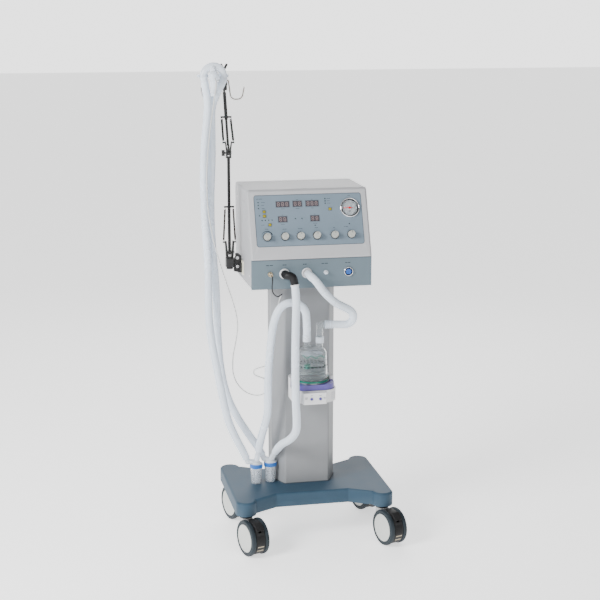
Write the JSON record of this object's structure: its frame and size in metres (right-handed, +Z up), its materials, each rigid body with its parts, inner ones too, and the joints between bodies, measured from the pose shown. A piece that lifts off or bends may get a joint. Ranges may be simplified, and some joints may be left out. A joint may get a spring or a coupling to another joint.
{
  "type": "mechanical ventilator on trolley",
  "caption": "Mechanical ventilator console with sloped control panel on a castored trolley, with heated humidifier, water traps, breathing hoses and a jointed sprung support arm.",
  "frame": {"origin": "centre of the footprint box on the floor, free hoses left out", "axes": "+X to the console's right as seen from the front, +Y towards the back, +Z up; the control panel faces -Y"},
  "size_m": [0.639, 0.4949, 1.585],
  "materials": {
    "base_plastic": "satin",
    "frame_steel": "powder coated",
    "column_plastic": "fine texture",
    "console_plastic": "fine texture",
    "console_metal": "satin",
    "fascia": "printed film",
    "port_plate": "printed film",
    "display": "tinted window",
    "chrome_trim": "polished",
    "red_needle": "painted",
    "white_plastic": "moulded",
    "boards": "as made",
    "brass_fittings": "machined",
    "black_metal": "satin",
    "arm_metal": "satin",
    "spring_steel": "bright",
    "black_plastic": "moulded",
    "clear_plastic": "clear",
    "blue_plastic": "moulded",
    "purple_plastic": "moulded",
    "knob_plastic": "moulded",
    "key_rubber": "moulded",
    "tyre_rubber": "moulded",
    "hose_plastic": "corrugated",
    "line_plastic": "clear"
  },
  "bodies": {
    "trolley": {"base_cover": "base_plastic", "steel_frame": "frame_steel", "column_shell": "column_plastic", "console_shell": "console_plastic", "rear_cover": "console_metal", "fascia_panel": "fascia", "port_panel": "port_plate", "display_modules": "display", "gauge_case": "chrome_trim", "gas_ports": "white_plastic", "internal_units": "boards", "rear_connectors": "brass_fittings", "arm_bracket": "black_metal", "heater_base": "white_plastic", "chamber_base": "arm_metal", "chamber_dome": "clear_plastic", "trap_lids": "blue_plastic", "trap_cups": "clear_plastic", "inlet_hose": "hose_plastic", "humid_hose": "hose_plastic", "return_hose": "hose_plastic", "left_limb_hose": "hose_plastic", "right_limb_hose": "hose_plastic", "sensor_line": "line_plastic"},
    "caster_fl": {"caster_fl_yoke": "black_plastic"},
    "wheels_fl": {"caster_fl_wheels": "tyre_rubber"},
    "pedal_fl": {"caster_fl_pedal": "black_plastic"},
    "caster_fr": {"caster_fr_yoke": "black_plastic"},
    "wheels_fr": {"caster_fr_wheels": "tyre_rubber"},
    "pedal_fr": {"caster_fr_pedal": "black_plastic"},
    "caster_rl": {"caster_rl_yoke": "black_plastic"},
    "wheels_rl": {"caster_rl_wheels": "tyre_rubber"},
    "caster_rr": {"caster_rr_yoke": "black_plastic"},
    "wheels_rr": {"caster_rr_wheels": "tyre_rubber"},
    "knob_1": {"knob_1": "knob_plastic"},
    "knob_2": {"knob_2": "knob_plastic"},
    "knob_3": {"knob_3": "knob_plastic"},
    "knob_4": {"knob_4": "knob_plastic"},
    "knob_5": {"knob_5": "knob_plastic"},
    "knob_6": {"knob_6": "knob_plastic"},
    "key_1": {"key_1": "key_rubber"},
    "key_2": {"key_2": "key_rubber"},
    "key_3": {"key_3": "key_rubber"},
    "key_4": {"key_4": "key_rubber"},
    "needle": {"gauge_needle": "red_needle"},
    "manual_button": {"manual_button": "blue_plastic"},
    "heater_key_left": {"heater_key_left": "purple_plastic"},
    "heater_key_right": {"heater_key_right": "purple_plastic"},
    "guard_ring": {"guard_ring": "purple_plastic"},
    "turret": {"arm_turret": "arm_metal"},
    "lower_arm": {"lower_arm": "arm_metal", "lower_springs": "spring_steel"},
    "upper_arm": {"upper_arm": "arm_metal", "upper_springs": "spring_steel"},
    "arm_head": {"arm_head": "black_plastic", "hose_holder": "white_plastic", "y_piece": "clear_plastic", "double_hook": "chrome_trim"},
    "elbow_screw": {"elbow_screw": "black_plastic"},
    "head_screw": {"head_screw": "black_plastic"}
  },
  "joints": [
    {"name": "caster_fl_swivel", "type": "hinge", "parent": "trolley", "child": "caster_fl", "pos_m": [-0.206, -0.137, 0.12], "axis": [0, 0, 1], "continuous": true},
    {"name": "caster_fl_roll", "type": "hinge", "parent": "caster_fl", "child": "wheels_fl", "pos_m": [-0.19117, -0.18265, 0.06], "axis": [0.9511, 0.309, 0], "continuous": true},
    {"name": "caster_fl_brake", "type": "hinge", "parent": "caster_fl", "child": "pedal_fl", "pos_m": [-0.18083, -0.21447, 0.09716], "axis": [0.9511, 0.309, 0], "range_deg": [0, 10]},
    {"name": "caster_fr_swivel", "type": "hinge", "parent": "trolley", "child": "caster_fr", "pos_m": [0.258, -0.137, 0.12], "axis": [0, 0, 1], "continuous": true},
    {"name": "caster_fr_roll", "type": "hinge", "parent": "caster_fr", "child": "wheels_fr", "pos_m": [0.27283, -0.18265, 0.06], "axis": [0.9511, 0.309, 0], "continuous": true},
    {"name": "caster_fr_brake", "type": "hinge", "parent": "caster_fr", "child": "pedal_fr", "pos_m": [0.28317, -0.21447, 0.09716], "axis": [0.9511, 0.309, 0], "range_deg": [0, 10]},
    {"name": "caster_rl_swivel", "type": "hinge", "parent": "trolley", "child": "caster_rl", "pos_m": [-0.206, 0.201, 0.12], "axis": [0, 0, 1], "continuous": true},
    {"name": "caster_rl_roll", "type": "hinge", "parent": "caster_rl", "child": "wheels_rl", "pos_m": [-0.19117, 0.15535, 0.06], "axis": [0.9511, 0.309, 0], "continuous": true},
    {"name": "caster_rr_swivel", "type": "hinge", "parent": "trolley", "child": "caster_rr", "pos_m": [0.258, 0.201, 0.12], "axis": [0, 0, 1], "continuous": true},
    {"name": "caster_rr_roll", "type": "hinge", "parent": "caster_rr", "child": "wheels_rr", "pos_m": [0.27283, 0.15535, 0.06], "axis": [0.9511, 0.309, 0], "continuous": true},
    {"name": "knob_1_turn", "type": "hinge", "parent": "trolley", "child": "knob_1", "pos_m": [-0.1172, -0.06349, 1.03284], "axis": [0, -0.9306, 0.3661], "range_deg": [-150, 150]},
    {"name": "knob_2_turn", "type": "hinge", "parent": "trolley", "child": "knob_2", "pos_m": [-0.05813, -0.06349, 1.03284], "axis": [0, -0.9306, 0.3661], "range_deg": [-150, 150]},
    {"name": "knob_3_turn", "type": "hinge", "parent": "trolley", "child": "knob_3", "pos_m": [-0.00622, -0.06349, 1.03284], "axis": [0, -0.9306, 0.3661], "range_deg": [-150, 150]},
    {"name": "knob_4_turn", "type": "hinge", "parent": "trolley", "child": "knob_4", "pos_m": [0.04748, -0.06349, 1.03284], "axis": [0, -0.9306, 0.3661], "range_deg": [-150, 150]},
    {"name": "knob_5_turn", "type": "hinge", "parent": "trolley", "child": "knob_5", "pos_m": [0.10655, -0.06349, 1.03284], "axis": [0, -0.9306, 0.3661], "range_deg": [-150, 150]},
    {"name": "knob_6_turn", "type": "hinge", "parent": "trolley", "child": "knob_6", "pos_m": [0.16204, -0.06349, 1.03284], "axis": [0, -0.9306, 0.3661], "range_deg": [-150, 150]},
    {"name": "key_1_press", "type": "slide", "parent": "trolley", "child": "key_1", "axis": [0, 0.9306, -0.3661], "range_m": [0, 0.0012], "stiffness_N_per_m": 600},
    {"name": "key_2_press", "type": "slide", "parent": "trolley", "child": "key_2", "axis": [0, 0.9306, -0.3661], "range_m": [0, 0.0012], "stiffness_N_per_m": 600},
    {"name": "key_3_press", "type": "slide", "parent": "trolley", "child": "key_3", "axis": [0, 0.9306, -0.3661], "range_m": [0, 0.0012], "stiffness_N_per_m": 600},
    {"name": "key_4_press", "type": "slide", "parent": "trolley", "child": "key_4", "axis": [0, 0.9306, -0.3661], "range_m": [0, 0.0012], "stiffness_N_per_m": 600},
    {"name": "gauge_needle_turn", "type": "hinge", "parent": "trolley", "child": "needle", "pos_m": [0.16383, -0.03075, 1.11608], "axis": [0, -0.9306, 0.3661], "range_deg": [-240, 15], "stiffness_Nm_per_rad": 0.002},
    {"name": "manual_button_press", "type": "slide", "parent": "trolley", "child": "manual_button", "axis": [0, 1, 0], "range_m": [0, 0.003], "stiffness_N_per_m": 700},
    {"name": "heater_key_left_press", "type": "slide", "parent": "trolley", "child": "heater_key_left", "axis": [0, 1, 0], "range_m": [0, 0.0015], "stiffness_N_per_m": 600},
    {"name": "heater_key_right_press", "type": "slide", "parent": "trolley", "child": "heater_key_right", "axis": [0, 1, 0], "range_m": [0, 0.0015], "stiffness_N_per_m": 600},
    {"name": "guard_ring_press", "type": "slide", "parent": "trolley", "child": "guard_ring", "axis": [0, 0, -1], "range_m": [0, 0.008], "stiffness_N_per_m": 900},
    {"name": "arm_swivel", "type": "hinge", "parent": "trolley", "child": "turret", "pos_m": [-0.216, 0.092, 0.94], "axis": [0, 0, 1], "range_deg": [-120, 0], "deforming": ["left_limb_hose", "right_limb_hose", "sensor_line"]},
    {"name": "shoulder_tilt", "type": "hinge", "parent": "turret", "child": "lower_arm", "pos_m": [-0.216, 0.092, 0.96], "axis": [1, 0, 0], "range_deg": [-5, 60], "deforming": ["lower_springs"]},
    {"name": "elbow_tilt", "type": "hinge", "parent": "lower_arm", "child": "upper_arm", "pos_m": [-0.216, 0.092, 1.29], "axis": [1, 0, 0], "range_deg": [-20, 90], "deforming": ["upper_springs"]},
    {"name": "head_tilt", "type": "hinge", "parent": "upper_arm", "child": "arm_head", "pos_m": [-0.228, 0.092, 1.5], "axis": [1, 0, 0], "range_deg": [-45, 45]},
    {"name": "elbow_screw_turn", "type": "hinge", "parent": "lower_arm", "child": "elbow_screw", "pos_m": [-0.216, 0.092, 1.29], "axis": [1, 0, 0], "range_deg": [-90, 90]},
    {"name": "head_screw_turn", "type": "hinge", "parent": "arm_head", "child": "head_screw", "pos_m": [-0.228, 0.092, 1.55], "axis": [0, 0, 1], "range_deg": [-90, 90]}
  ]
}
